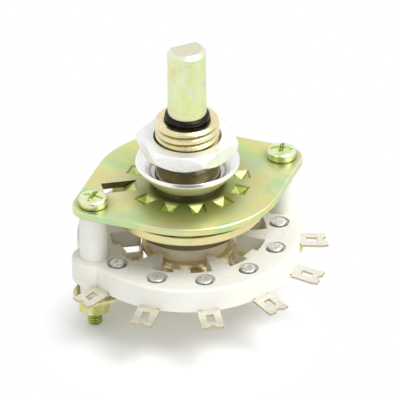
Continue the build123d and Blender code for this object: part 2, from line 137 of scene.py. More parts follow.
class Net:
    """The nodes of one material or world, written as expressions."""

    def __init__(self, tree: bpy.types.NodeTree) -> None:
        """Starts from an empty tree."""
        self.tree = tree
        tree.nodes.clear()

    def node(
        self,
        kind: str,
        settings: Mapping[str, object] | None = None,
        values: Mapping[int | str, object] | None = None,
        output: int | str = 0,
    ) -> Value:
        """Adds any node.

        Args:
            kind: the node's type.
            settings: its own settings, set first; "stops" fills a ramp.
            values: a number, colour or link for each named or numbered socket.
            output: the socket that the result is read from.

        Returns:
            That output, or the first input of a node that has none.
        """
        made = self.tree.nodes.new(kind)
        for name, setting in (settings or {}).items():
            if name == "stops":
                self._fill_ramp(made.color_ramp, setting)
            else:
                setattr(made, name, setting)
        for name, value in (values or {}).items():
            if isinstance(value, Value):
                self.tree.links.new(value.socket, made.inputs[name])
            else:
                made.inputs[name].default_value = value
        return Value(self, made.outputs[output] if made.outputs else made.inputs[0])

    @staticmethod
    def _fill_ramp(ramp: bpy.types.ColorRamp, stops: Stops) -> None:
        """Puts the stops into a colour ramp, the first two in its own elements.

        Args:
            ramp: the colour ramp of a new node.
            stops: a place from 0 to 1 and a colour each.
        """
        for index, (position, colour) in enumerate(stops):
            held = ramp.elements[index] if index < 2 else ramp.elements.new(position)
            held.position = position
            held.color = rgba(colour)

    def math(self, operation: str, *operands: Operand) -> Value:
        """The result of one Math node with these operands."""
        return self.node("ShaderNodeMath", {"operation": operation}, dict(enumerate(operands)))

    def vector(self, operation: str, left: Value, right: Triple, output: int = 0) -> Value:
        """The result of one Vector Math node; its output 1 is a number."""
        return self.node("ShaderNodeVectorMath", {"operation": operation}, {0: left, 1: right}, output)

    def place(self, stretch: Triple = (1.0, 1.0, 1.0)) -> Value:
        """Object coordinates in millimetres, times a factor for each axis."""
        at = self.node("ShaderNodeTexCoord", output="Object")
        return self.node("ShaderNodeMapping", {}, {"Vector": at, "Scale": tuple(s / MM for s in stretch)})

    def noise(self, at: Value, cloud: Cloud) -> Value:
        """The noise of a cloud.

        Args:
            at: where it is read.
            cloud: its pattern.

        Returns:
            The noise from 0 to 1, as a smooth step where the cloud is cut.
        """
        values = {"Vector": at, "Scale": cloud.per_mm, "Detail": cloud.detail, "Distortion": cloud.swirl}
        made = self.node("ShaderNodeTexNoise", {}, {**values, "Roughness": NOISE_ROUGHNESS})
        return made.step(*cloud.cut) if cloud.cut else made

    def ramp(self, factor: Value, stops: Stops) -> Value:
        """A colour read from a ramp's stops."""
        return self.node("ShaderNodeValToRGB", {"stops": stops}, {"Fac": factor})

    def layers(self, base: Union[Value, Colour], *coats: tuple[Operand, Colour]) -> Value:
        """A colour with coats laid over it.

        Args:
            base: the colour below.
            coats: each coat's share, from 0 to 1, and its colour, from the lowest up.

        Returns:
            The mixed colour.
        """
        below = base if isinstance(base, Value) else rgba(base)
        for share, coat in coats:
            values = {0: share, 6: below, 7: rgba(coat)}
            below = self.node("ShaderNodeMix", {"data_type": "RGBA"}, values, output=2)
        return below

    def part(self, vector: Value, axis: int) -> Value:
        """One of a vector's three parts."""
        return self.node("ShaderNodeSeparateXYZ", {}, {0: vector}, output=axis)

    def upward(self, normal: str) -> Value:
        """How far the surface looks up, from -1 to 1, by this normal of the geometry."""
        return self.part(self.node("ShaderNodeNewGeometry", output=normal), UP)

    def seen(self) -> tuple[Value, Value]:
        """Whether a ray shows the white studio: one of camera, mirror or glass, and one of a mirror alone.

        Returns:
            Both, as 1 or 0.
        """
        names = ("Is Camera Ray", "Is Glossy Ray", "Is Transmission Ray")
        camera, mirrored, passed = [self.node("ShaderNodeLightPath", output=name) for name in names]
        return camera.larger(mirrored).larger(passed), mirrored

    def radius(self, at: Value, centre: Pair = (0.0, 0.0)) -> Value:
        """Distance in millimetres from the upright axis through a centre."""
        flat = self.vector("MULTIPLY", at, (1.0, 1.0, 0.0))
        return self.vector("DISTANCE", flat, (*centre, 0.0), output=1)

    def shelter(self, reach_mm: float) -> Value:
        """How far a point is closed in by what stands within reach, from 0 in the open to 1."""
        settings, values = {"samples": SHELTER_SAMPLES}, {"Distance": reach_mm * MM}
        return 1.0 - self.node("ShaderNodeAmbientOcclusion", settings, values, output="AO")

    def relief(self, height: Value, depth_mm: float, edge_mm: float) -> Value:
        """A normal with fine relief over softened edges.

        Args:
            height: the relief, from 0 to 1.
            depth_mm: what 1 stands for.
            edge_mm: the radius that sharp edges are eased to.

        Returns:
            The normal.
        """
        eased = self.node("ShaderNodeBevel", {"samples": EDGE_SAMPLES}, {"Radius": edge_mm * MM})
        values = {"Strength": 1.0, "Distance": depth_mm * MM, "Height": height, "Normal": eased}
        return self.node("ShaderNodeBump", {}, values)

    def surface(
        self, colour: Value, roughness: Value, normal: Value, metallic: Operand = 0.0, specular: float = 0.5
    ) -> None:
        """Ends the network in one Principled surface.

        Args:
            colour: its base colour.
            roughness: its roughness.
            normal: its normal.
            metallic: how far it is metal.
            specular: the strength of its plain reflection.
        """
        values = {"Base Color": colour, "Roughness": roughness, "Normal": normal, "Metallic": metallic}
        shader = self.node("ShaderNodeBsdfPrincipled", {}, {**values, "Specular IOR Level": specular})
        self.node("ShaderNodeOutputMaterial", {}, {"Surface": shader})


class Grain(Enum):
    """The way that fine tool marks run, as stretches of the pattern along X, Y and Z."""

    ROLLED = (0.25, 3.0, 3.0)
    TURNED = (0.30, 0.30, 7.0)
    PRESSED = (1.6, 1.6, 1.6)


@dataclass(frozen=True)
class Finish:
    """What every finish has: its name and how far its sharp edges are eased."""

    name: str
    edge_mm: float

    def material(self) -> bpy.types.Material:
        """Makes the finish.

        Returns:
            It, as a new material.
        """
        made = bpy.data.materials.new(self.name)
        made.use_nodes = True
        self.paint(Net(made.node_tree))
        return made

    def paint(self, net: Net) -> None:
        """Draws the finish; each kind has its own way."""
        raise NotImplementedError


@dataclass(frozen=True)
class Pressing:
    """What the press leaves on a sheet: fresh pits and cut edges, with painted shade in the pits' mouths and
    on a patch by the washer, and a painted highlight on the outer edges.
    """

    # The next five fields paint shade and the washer's dark reflection on the top face in front of the washer.
    shade_patch_at_mm: Pair = (-2.8, -6.1)
    shade_patch_mm: Pair = (4.0, 10.5)
    shade_patch_above_mm: Pair = (-0.30, -0.10)
    dull_share: float = 0.50
    dull: Colour = (0.15, 0.20, 0.14)
    ring_from_mm: Pair = (5.8, 6.0)
    ring_to_mm: Pair = (11.0, 11.2)
    pit_mm: Pair = (-0.30, -0.02)
    fresh_share: float = 0.55
    fresh: Colour = (0.66, 0.82, 0.22)
    # The next four fields paint shade in a band just inside each pit's edge.
    mouth_from_mm: Pair = (-0.30, -0.12)
    mouth_to_mm: Pair = (-0.06, -0.01)
    mouth_share: float = 0.55
    mouth: Colour = (0.13, 0.10, 0.03)
    rim_mm: Pair = (14.0, 14.2)
    cut_share: float = 0.85
    upright: Pair = (0.05, 0.20)
    sheared: Colour = (0.13, 0.075, 0.04)
    # The next six fields paint a highlight on the tilted faces of the outer edge, in clouds.
    corner_from: Pair = (0.30, 0.50)
    corner_to: Pair = (0.85, 0.95)
    edge_highlight_cloud: Cloud = Cloud(0.18, detail=3.0, cut=(0.35, 0.70))
    edge_highlight_least: float = 0.08
    edge_highlight_more: float = 0.60
    edge_highlight: Colour = (0.96, 0.97, 0.92)

    def paint(self, net: Net, at: Value, level: Value, colour: Value) -> Value:
        """Paints shade on a patch by the washer, freshens the pits, paints shade in their mouths, bares inner
        edges and paints a highlight on outer ones.

        Args:
            net: the network.
            at: coordinates in millimetres.
            level: their height.
            colour: the film's colour.

        Returns:
            The colour with the marks of the press.
        """
        near = 1.0 - net.radius(at, self.shade_patch_at_mm).step(*self.shade_patch_mm)
        far = net.radius(at)
        ring = far.band(self.ring_from_mm, self.ring_to_mm)
        pit = ring * (1.0 - level.step(*self.pit_mm))
        mouth = ring * level.band(self.mouth_from_mm, self.mouth_to_mm)
        outside = far.step(*self.rim_mm)
        upward = net.upward("True Normal")
        upright = 1.0 - abs(upward).step(*self.upright)
        corner = upward.band(self.corner_from, self.corner_to) * outside
        edge_highlight_cloud = net.noise(at, self.edge_highlight_cloud) * self.edge_highlight_more + self.edge_highlight_least
        # Coats: painted shade by the washer, fresh pits, painted shade in the pits' mouths, bare cut edges, a
        # painted highlight on the outer edges.
        return net.layers(
            colour,
            (near * level.step(*self.shade_patch_above_mm) * self.dull_share, self.dull),
            (pit * self.fresh_share, self.fresh),
            (mouth * self.mouth_share, self.mouth),
            (upright * (1.0 - outside) * self.cut_share, self.sheared),
            (corner * edge_highlight_cloud * self.cut_share, self.edge_highlight),
        )


@dataclass(frozen=True)
class ZincFilm(Finish):
    """Passivated zinc plate: a thin film whose colour drifts in clouds, with patches and tool marks.

    Each patch is a tint with the stretch of its pattern.
    """

    film: Stops
    shade: Colour
    grain: Grain
    roughness: float
    cloud_per_mm: float
    mottle: float
    mottle_per_mm: float
    relief_mm: float
    # The shelter fields paint shade where the surface is closed in.
    shelter_mm: float
    shelter_none: float = 0.04
    shelter_full: float = 0.75
    painted_shade_share: float = 0.85
    # Darker below a set level: on the bush this is painted shade under the nut.
    darker_below_mm: Pair | None = None
    darker_below_share: float = 0.72
    darker_below: Colour = (0.28, 0.34, 0.0)
    # The end band: the first tint is a painted highlight on the end chamfer, the second is the end face's own
    # tone.
    end_mm: tuple[Pair, Pair] | None = None
    end_share: float = 0.8
    ends: tuple[Colour, Colour] = ((0.86, 0.84, 0.72), (0.74, 0.70, 0.53))
    pressing: Pressing | None = None
    blush: Patch = ((0.86, 0.62, 0.46), (1.0, 1.0, 0.6))
    cool: Patch = ((0.52, 0.80, 0.58), (0.8, 1.2, 0.5))
    pale: Patch = ((0.88, 0.90, 0.62), (1.3, 0.9, 0.4))
    marks: Cloud = Cloud(3.2, detail=3.0)
    mark_relief: float = 0.7
    mark_dulls: float = 0.14
    specks: Cloud = Cloud(7.0, detail=2.0)
    speck_relief: float = 0.3
    speck_cut: Pair = (0.60, 0.85)
    speck_share: float = 0.12
    stains: Cloud = Cloud(1.3, detail=4.0, swirl=0.6, cut=(0.62, 0.80))
    stain_share: float = 0.14
    stain_dulls: float = 0.10

    def paint(self, net: Net) -> None:
        """Large clouds pick the film's colour and finer ones tint it; dirt and tools mark it. Painted shade
        darkens closed corners, it is darker below a set level and an end band gets a painted highlight.

        Args:
            net: the network.
        """
        at = net.place()
        level = net.part(at, UP)
        clouds = Cloud(self.cloud_per_mm, detail=3.0, swirl=1.2)
        mottle = Cloud(self.mottle_per_mm, detail=4.0, swirl=0.4, cut=(0.50, 0.68))
        colour = net.ramp(net.noise(at, clouds), self.film)
        for tint, stretch in (self.blush, self.cool, self.pale):
            colour = net.layers(colour, (net.noise(net.place(stretch), mottle) * self.mottle, tint))
        marks = net.noise(net.place(self.grain.value), self.marks)
        speck = net.noise(at, self.specks)
        stain = net.noise(at, self.stains)
        dirt = speck.step(*self.speck_cut) * self.speck_share + stain * self.stain_share
        # Painted shade in closed corners, grooves and recesses, and on the plate round the washer.
        closed = net.shelter(self.shelter_mm).step(self.shelter_none, self.shelter_full)
        colour = net.layers(colour, (dirt, self.shade), (closed * self.painted_shade_share, self.shade))
        # Darker below a set level: painted shade on the bush under the nut, darker threaded ends on the
        # screws.
        if self.darker_below_mm:
            colour = net.layers(colour, ((1.0 - level.step(*self.darker_below_mm)) * self.darker_below_share, self.darker_below))
        # Painted highlight on the end chamfer, then the end face's own tone.
        for height, tint in zip(self.end_mm or (), self.ends):
            colour = net.layers(colour, (level.step(*height) * self.end_share, tint))
        if self.pressing:
            colour = self.pressing.paint(net, at, level, colour)
        height = marks * self.mark_relief + speck * self.speck_relief
        roughness = self.roughness + marks * self.mark_dulls + stain * self.stain_dulls
        net.surface(colour, roughness, net.relief(height, self.relief_mm, self.edge_mm), metallic=1.0)


@dataclass(frozen=True)
class BrightPlate(Finish):
    """Bright plated steel with scratches, specks and a faint cast in clouds."""

    colour: Colour
    cast: Colour
    grain: Grain
    roughness: float
    relief_mm: float
    level_roughness: float
    level_metallic: float
    shelter_mm: float
    clouds: Cloud = Cloud(0.22, detail=3.0, swirl=1.0, cut=(0.45, 0.75))
    cast_share: float = 0.6
    scratches: Cloud = Cloud(4.0, detail=4.0)
    scratch_dulls: float = 0.12
    specks: Cloud = Cloud(6.0, detail=4.0, cut=(0.62, 0.78))
    speck_share: float = 0.25
    speck_sinks: float = 0.4
    speck_dulls: float = 0.15
    speck: Colour = (0.45, 0.45, 0.42)
    # The shelter and foot fields paint shade in closed corners and in the foot of the dished washer.
    shelter_cut: Pair = (0.45, 0.95)
    painted_shade_share: float = 0.8
    foot_mm: Pair = (0.0, 0.1)
    foot_share: float = 0.5
    shade: Colour = (0.15, 0.12, 0.08)
    level_cut: Pair = (0.80, 0.95)
    # The next three fields paint the yellow plate's reflection on downward faces, which are less metallic
    # there.
    plate_reflection_cut: Pair = (0.20, 0.50)
    plate_reflection_share: float = 0.0
    under: Colour = (0.92, 0.84, 0.36)

    def paint(self, net: Net) -> None:
        """Clouds tint the plate, painted shade darkens closed corners and the foot, a painted reflection of
        the yellow plate tints downward faces, level faces are duller than sides.

        Args:
            net: the network.
        """
        at = net.place()
        cloud = net.noise(at, self.clouds)
        scratch = net.noise(net.place(self.grain.value), self.scratches)
        specks = net.noise(at, self.specks)
        # Painted shade: closed corners and the foot.
        closed = net.shelter(self.shelter_mm).step(*self.shelter_cut) * self.painted_shade_share
        foot = (1.0 - net.radius(at).step(*self.foot_mm)) * self.foot_share
        upward = net.upward("Normal")
        level = upward.step(*self.level_cut)
        # Painted reflection of the yellow plate on downward faces.
        under = (upward * -1.0).step(*self.plate_reflection_cut) * self.plate_reflection_share
        colour = net.layers(
            self.colour,
            (cloud * self.cast_share, self.cast),
            (specks * self.speck_share, self.speck),
            (closed.larger(foot), self.shade),
            (under, self.under),
        )
        metallic = 1.0 - (level * (1.0 - self.level_metallic)).larger(under)
        roughness = self.roughness + level * (self.level_roughness - self.roughness)
        roughness = roughness + scratch * self.scratch_dulls + specks * self.speck_dulls
        relief = net.relief(scratch - specks * self.speck_sinks, self.relief_mm, self.edge_mm)
        net.surface(colour, roughness, relief, metallic)


@dataclass(frozen=True)
class Steatite(Finish):
    """Fired steatite: warm white, with a faint grain, a few specks and round ejector marks."""

    colour: Colour
    warm: Colour
    clouds: Cloud = Cloud(0.20, detail=4.0, swirl=0.5, cut=(0.35, 0.75))
    specks: Cloud = Cloud(2.6, detail=2.0, cut=(0.72, 0.80))
    speck_share: float = 0.22
    speck: Colour = (0.42, 0.38, 0.30)
    # The next four fields paint warm shade in closed corners and recesses.
    warm_shade_mm: float = 7.0
    warm_shade_cut: Pair = (0.35, 0.95)
    warm_shade_share: float = 0.7
    warm_shade: Colour = (0.78, 0.67, 0.46)
    marks: int = 6
    mark_radius_mm: float = 1.45
    mark_at_mm: float = 13.3
    mark_above_mm: Pair = (-9.35, -9.32)
    mark_line_mm: Pair = (0.03, 0.16)
    mark_share: float = 0.10
    mark_sinks: float = 0.9
    mark: Colour = (0.50, 0.47, 0.40)
    fine: Cloud = Cloud(9.0, detail=3.0)
    coarse: Cloud = Cloud(1.1, detail=3.0)
    fine_share: float = 0.5
    relief_mm: float = 0.022
    roughness: float = 0.42
    dull: Cloud = Cloud(3.0, detail=3.0)
    dull_share: float = 0.22
    specular: float = 0.45

    def paint(self, net: Net) -> None:
        """Clouds warm the body, painted warm shade darkens closed corners, fine noise grains it, a folded
        circle presses the marks.

        Args:
            net: the network.
        """
        at = net.place()
        mark = self._ejector_mark(net, at)
        # Coats: warm clouds, specks, painted warm shade in closed corners, ejector marks.
        colour = net.layers(
            self.colour,
            (net.noise(at, self.clouds), self.warm),
            (net.noise(at, self.specks) * self.speck_share, self.speck),
            (net.shelter(self.warm_shade_mm).step(*self.warm_shade_cut) * self.warm_shade_share, self.warm_shade),
            (mark * self.mark_share, self.mark),
        )
        fine, coarse = (net.noise(at, cloud) for cloud in (self.fine, self.coarse))
        grain = fine * self.fine_share + coarse * (1.0 - self.fine_share)
        relief = net.relief(grain - mark * self.mark_sinks, self.relief_mm, self.edge_mm)
        roughness = self.roughness + net.noise(at, self.dull) * self.dull_share
        net.surface(colour, roughness, relief, specular=self.specular)

    def _ejector_mark(self, net: Net, at: Value) -> Value:
        """One thin circle at each tooth root.

        The angle round the shaft is folded into one part of a turn about the first root, so a single
        circle at that root stands for all of them.

        Args:
            net: the network.
            at: coordinates in millimetres.

        Returns:
            1 on the circle's line, 0 off it.
        """
        share = FULL_TURN / self.marks
        x, y, level = (net.part(at, axis) for axis in range(3))
        folded = (net.math("ARCTAN2", y, x) % share) - share / 2
        reach = net.radius(at)
        along, across = (reach * net.math(part, folded) for part in ("COSINE", "SINE"))
        spot = net.node("ShaderNodeCombineXYZ", {}, {0: along, 1: across})
        line = abs(net.radius(spot, (self.mark_at_mm, 0.0)) - self.mark_radius_mm)
        return (1.0 - line.step(*self.mark_line_mm)) * level.step(*self.mark_above_mm)


@dataclass(frozen=True)
class SilveredBrass(Finish):
    """Silver plated brass strip, with the brass bare on its sheared edges."""

    colour: Colour
    tarnish: Colour
    brass: Colour
    clouds: Cloud = Cloud(0.55, detail=4.0, swirl=1.0, cut=(0.40, 0.80))
    cloud_dulls: float = 0.10
    marks: Cloud = Cloud(4.8, detail=4.0)
    mark_dulls: float = 0.16
    level_cut: Pair = (0.30, 0.55)
    metallic: float = 0.95
    roughness: float = 0.30
    relief_mm: float = 0.014

    def paint(self, net: Net) -> None:
        """Faces that look up or down are plated, the sheared sides are brass, clouds tarnish the plate.

        Args:
            net: the network.
        """
        at = net.place()
        tarnish = net.noise(at, self.clouds)
        sheared = 1.0 - abs(net.upward("True Normal")).step(*self.level_cut)
        colour = net.layers(self.colour, (tarnish, self.tarnish), (sheared, self.brass))
        marks = net.noise(at, self.marks)
        roughness = self.roughness + marks * self.mark_dulls + tarnish * self.cloud_dulls
        net.surface(colour, roughness, net.relief(marks, self.relief_mm, self.edge_mm), self.metallic)


@dataclass(frozen=True)
class PlainMetal(Finish):
    """Bare or blackened metal with fine marks."""

    colour: Colour
    worn: Colour
    metallic: float
    roughness: float
    relief_mm: float = 0.010
    wear: Cloud = Cloud(1.4, detail=4.0, swirl=0.8, cut=(0.48, 0.78))
    marks: Cloud = Cloud(5.0, detail=3.0)
    mark_dulls: float = 0.16
    # The next three fields paint shade on a band between two levels.
    rim_mm: tuple[Pair, Pair] | None = None
    rim_shade_share: float = 0.85
    rim_shade: Colour = (0.16, 0.16, 0.15)

    def paint(self, net: Net) -> None:
        """Blotches wear the colour, fine noise dulls it and painted shade darkens a band between two levels.

        Args:
            net: the network.
        """
        at = net.place()
        colour = net.layers(self.colour, (net.noise(at, self.wear), self.worn))
        # Painted shade on the band between two levels.
        if self.rim_mm:
            colour = net.layers(colour, (net.part(at, UP).band(*self.rim_mm) * self.rim_shade_share, self.rim_shade))
        marks = net.noise(at, self.marks)
        relief = net.relief(marks, self.relief_mm, self.edge_mm)
        net.surface(colour, self.roughness + marks * self.mark_dulls, relief, self.metallic)


@dataclass(frozen=True)
class Moulding(Finish):
    """Dark moulded resin with a mottled filler."""

    colour: Colour
    filler: Colour
    blotches: Cloud = Cloud(2.2, detail=4.0, swirl=0.5, cut=(0.45, 0.75))
    grain: Cloud = Cloud(5.0, detail=3.0)
    grain_dulls: float = 0.2
    roughness: float = 0.42
    relief_mm: float = 0.015

    def paint(self, net: Net) -> None:
        """Fine blotches of filler show in the resin.

        Args:
            net: the network.
        """
        at = net.place()
        colour = net.layers(self.colour, (net.noise(at, self.blotches), self.filler))
        grain = net.noise(at, self.grain)
        relief = net.relief(grain, self.relief_mm, self.edge_mm)
        net.surface(colour, self.roughness + grain * self.grain_dulls, relief)


SHEET_FILM: Stops = (
    (0.30, (0.52, 0.73, 0.40)),
    (0.42, (0.64, 0.75, 0.33)),
    (0.50, (0.76, 0.78, 0.31)),
    (0.58, (0.80, 0.72, 0.33)),
    (0.66, (0.70, 0.77, 0.36)),
    (0.76, (0.58, 0.77, 0.44)),
)
SHAFT_FILM: Stops = (
    (0.30, (0.70, 0.80, 0.54)),
    (0.42, (0.75, 0.86, 0.42)),
    (0.52, (0.80, 0.87, 0.40)),
    (0.62, (0.78, 0.89, 0.58)),
    (0.74, (0.74, 0.82, 0.50)),
)
SCREW_FILM: Stops = (
    (0.32, (0.56, 0.76, 0.32)),
    (0.46, (0.80, 0.89, 0.50)),
    (0.58, (0.86, 0.91, 0.62)),
    (0.70, (0.62, 0.74, 0.28)),
)
DISC_FILM: Stops = (
    (0.34, (0.80, 0.71, 0.36)),
    (0.50, (0.86, 0.76, 0.38)),
    (0.66, (0.82, 0.74, 0.42)),
)
OLIVE_FILM: Stops = (
    (0.32, (0.50, 0.62, 0.22)),
    (0.46, (0.66, 0.68, 0.24)),
    (0.58, (0.72, 0.64, 0.26)),
    (0.72, (0.56, 0.68, 0.30)),
)
TAN_FILM: Stops = (
    (0.32, (0.76, 0.69, 0.44)),
    (0.48, (0.82, 0.72, 0.42)),
    (0.60, (0.87, 0.76, 0.44)),
    (0.74, (0.80, 0.68, 0.49)),
)
OLIVE: Colour = (0.11, 0.13, 0.06)
UMBER: Colour = (0.10, 0.07, 0.035)

# Painted shade on the plate round the washer from the wide shelter; the pressing adds its painted shade and
# highlight.
PLATE_ZINC = ZincFilm(
    name="yellow_zinc_rolled", edge_mm=0.22, film=SHEET_FILM, shade=OLIVE, grain=Grain.ROLLED, roughness=0.28,
    cloud_per_mm=0.085, mottle=0.34, mottle_per_mm=0.16, relief_mm=0.004, shelter_mm=13.0, shelter_full=0.40,
    painted_shade_share=0.48, pressing=Pressing(),
)
# Painted highlight on the end chamfer, painted shade in closed corners.
SHAFT_ZINC = ZincFilm(
    name="yellow_zinc_turned", edge_mm=0.04, film=SHAFT_FILM, shade=OLIVE, grain=Grain.TURNED, roughness=0.26,
    cloud_per_mm=0.26, mottle=0.60, mottle_per_mm=0.50, relief_mm=0.006, shelter_mm=0.6,
    end_mm=((22.97, 23.02), (23.53, 23.58)),
)
# Painted shade in the cross recesses; the threaded ends are darker.
SCREW_ZINC = ZincFilm(
    name="yellow_zinc_pressed", edge_mm=0.07, film=SCREW_FILM, shade=(0.15, 0.18, 0.02), grain=Grain.PRESSED,
    roughness=0.08, cloud_per_mm=0.40, mottle=0.34, mottle_per_mm=0.60, relief_mm=0.045, shelter_mm=0.35,
    darker_below_mm=(-15.5, -14.5),
)
# Painted shade in closed corners.
STRAP_ZINC = ZincFilm(
    name="yellow_zinc_strap", edge_mm=0.10, film=OLIVE_FILM, shade=OLIVE, grain=Grain.PRESSED, roughness=0.16,
    cloud_per_mm=0.30, mottle=0.60, mottle_per_mm=0.50, relief_mm=0.012, shelter_mm=1.2,
)
# Painted shade in the thread's grooves and on the bush below the nut, inside the washer.
TAN_ZINC = ZincFilm(
    name="tan_zinc", edge_mm=0.07, film=TAN_FILM, shade=UMBER, grain=Grain.TURNED, roughness=0.18,
    cloud_per_mm=0.20, mottle=0.44, mottle_per_mm=0.60, relief_mm=0.006, shelter_mm=0.4, darker_below_mm=(3.7, 4.7),
    darker_below_share=0.60, darker_below=(0.125, 0.105, 0.075),
)
# Painted shade in closed corners.
DISC_ZINC = ZincFilm(
    name="tan_zinc_disc", edge_mm=0.10, film=DISC_FILM, shade=UMBER, grain=Grain.ROLLED, roughness=0.26,
    cloud_per_mm=0.12, mottle=0.22, mottle_per_mm=0.40, relief_mm=0.004, shelter_mm=0.4,
)
# Painted shade on the nut's underside and in its closed corners.
NUT_PLATE = BrightPlate(
    name="bright_nut", edge_mm=0.12, colour=(0.96, 0.97, 0.96), cast=(0.80, 0.82, 0.78), grain=Grain.PRESSED,
    roughness=0.10, relief_mm=0.055, level_roughness=0.24, level_metallic=0.60, shelter_mm=2.0,
    specks=Cloud(2.6, detail=4.0, cut=(0.62, 0.78)), speck_share=0.7,
)
# Painted shade in the dish's foot and corners, painted reflection of the yellow plate on its outer wall.
WASHER_PLATE = BrightPlate(
    name="bright_washer", edge_mm=0.05, colour=(0.97, 0.97, 0.96), cast=(0.95, 0.95, 0.90),
    grain=Grain.PRESSED, roughness=0.16, relief_mm=0.004, level_roughness=0.16, level_metallic=1.0,
    shelter_mm=1.0, foot_mm=(5.2, 6.2), plate_reflection_share=0.7,
)
# Painted warm shade in closed corners, from the finish's defaults.
CERAMIC = Steatite("steatite", 0.16, (0.91, 0.91, 0.84), (0.88, 0.87, 0.78))
# The drum's steatite is a darker, warmer copy of the body's: painted shade.
SHADED_DRUM_CERAMIC = Steatite("steatite_drum_painted_shade", 0.12, (0.88, 0.83, 0.64), (0.82, 0.76, 0.56))
TERMINAL_STRIP = SilveredBrass(
    "silvered_brass", 0.06, (0.87, 0.85, 0.76), (0.76, 0.72, 0.60), (0.58, 0.47, 0.32)
)
# Painted shade round the foot of each rivet head.
RIVET_METAL = PlainMetal(
    "rivet_metal", 0.04, (0.96, 0.96, 0.96), (0.42, 0.42, 0.41), metallic=0.45, roughness=0.20,
    relief_mm=0.045, rim_mm=((-9.70, -9.65), (-9.31, -9.13)),
)
CONTACT_GOLD = PlainMetal(
    "contact_gold", 0.05, (0.78, 0.66, 0.42), (0.56, 0.43, 0.25), metallic=1.0, roughness=0.32
)
BLACK_STEEL = PlainMetal(
    "black_steel", 0.04, (0.010, 0.010, 0.009), (0.035, 0.032, 0.028), metallic=0.7, roughness=0.24
)
SPRING_STEEL = PlainMetal(
    "spring_steel", 0.03, (0.42, 0.40, 0.36), (0.30, 0.28, 0.24), metallic=1.0, roughness=0.30
)
BALL_STEEL = PlainMetal(
    "ball_steel", 0.03, (0.80, 0.80, 0.80), (0.72, 0.72, 0.72), metallic=1.0, roughness=0.08
)
PHENOLIC = Moulding("dark_phenolic", 0.08, (0.14, 0.105, 0.044), (0.20, 0.145, 0.066))


def around(angle: np.ndarray, *bands: Sequence[np.ndarray]) -> np.ndarray:
    """Bands of radius and level turned about Z: x = radius cos(angle), y = radius sin(angle), z = level."""
    radius, level = (np.concatenate(part, axis=-2) for part in zip(*bands))
    return np.stack([radius * np.cos(angle), radius * np.sin(angle), level], axis=-1)


def columns(count: int) -> np.ndarray:
    """Evenly spaced angles round the axis, without the repeated last one."""
    return np.arange(count) * (FULL_TURN / count)


def ring_faces(rows: int, across: int, looped: bool) -> np.ndarray:
    """Quads of a grid whose columns close on themselves.

    Args:
        rows: rows of the grid.
        across: columns of the grid.
        looped: whether the last row joins the first.

    Returns:
        Faces by 4 vertex numbers.
    """
    row = np.arange(rows if looped else rows - 1)[:, None]
    column = np.arange(across)[None, :]
    after = (column + 1) % across
    above = (row + 1) % rows
    corners = (row * across + column, row * across + after, above * across + after, above * across + column)
    return np.stack(np.broadcast_arrays(*corners), axis=-1).reshape(-1, 4)


def put(name: str, data: bpy.types.ID) -> bpy.types.Object:
    """Adds an object to the scene.

    Args:
        name: its name.
        data: its mesh, light or camera.

    Returns:
        The object, at the origin.
    """
    made = bpy.data.objects.new(name, data)
    bpy.context.collection.objects.link(made)
    return made


def make_piece(name: str, grids: Sequence[np.ndarray], looped: bool, crease_deg: float) -> bpy.types.Object:
    """One object from grids whose columns close round an axis.

    Args:
        name: the piece's name.
        grids: rows by columns by 3 each, in millimetres.
        looped: whether each grid's last row joins its first.
        crease_deg: edges sharper than this stay sharp.

    Returns:
        The object, at the origin, with closed poles and outward faces.
    """
    starts = np.cumsum([0] + [grid.shape[0] * grid.shape[1] for grid in grids])
    points = np.concatenate([grid.reshape(-1, 3) for grid in grids]) * MM
    faces = np.concatenate([ring_faces(*grid.shape[:2], looped) + start for grid, start in zip(grids, starts)])
    mesh = bpy.data.meshes.new(name)
    mesh.from_pydata(points.tolist(), [], faces.tolist())
    work = bmesh.new()
    work.from_mesh(mesh)
    bmesh.ops.remove_doubles(work, verts=work.verts, dist=WELD_MM * MM)
    bmesh.ops.dissolve_degenerate(work, edges=work.edges, dist=SLIVER_MM * MM)
    bmesh.ops.recalc_face_normals(work, faces=work.faces)
    work.to_mesh(mesh)
    work.free()
    mesh.shade_smooth()
    mesh.set_sharp_from_angle(angle=math.radians(crease_deg))
    return put(name, mesh)


def rounded(corners: Sequence[Pair], reach: Sequence[float], steps: int) -> np.ndarray:
    """A closed outline whose corners are parabolas.

    Each corner P becomes (1-t)^2 S + 2t(1-t) P + t^2 E, where S and E lie a reach before and after P
    along the two sides that meet there.

    Args:
        corners: outline corners.
        reach: one for each corner.
        steps: points on each parabola.

    Returns:
        The outline, corners times steps by 2.
    """
    middle = np.array(corners)
    sides = [np.roll(middle, shift, axis=0) - middle for shift in (1, -1)]
    start, end = (
        middle + side / np.linalg.norm(side, axis=1)[:, None] * np.array(reach)[:, None] for side in sides
    )
    t = np.linspace(0.0, 1.0, steps)[None, :, None]
    curve = (1 - t) ** 2 * start[:, None] + 2 * t * (1 - t) * middle[:, None] + t**2 * end[:, None]
    return curve.reshape(-1, 2)


def spread(outline: Sequence[Sequence[float | np.ndarray]], angle: np.ndarray) -> list[np.ndarray]:
    """Radius and level of an outline's points, each a number or one for each column, as full rows."""
    return [np.stack([point[part] + 0.0 * angle for point in outline]) for part in range(2)]


def smooth(share: np.ndarray) -> np.ndarray:
    """A share s from 0 to 1 with level ends: s^2 (3 - 2s)."""
    return share * share * (3.0 - 2.0 * share)


def settle(piece: bpy.types.Object, finish: Finish, node: str) -> None:
    """Dresses a new piece, ties it to its body and lets it stand for its node.

    Args:
        piece: the new piece.
        finish: its finish.
        node: the CAD node that it replaces.
    """
    piece.data.materials.append(finish.material())
    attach(piece, STILL_BODY)
    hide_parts(node)
    log.info("%s stands for %s with %d faces", piece.name, node, len(piece.data.polygons))


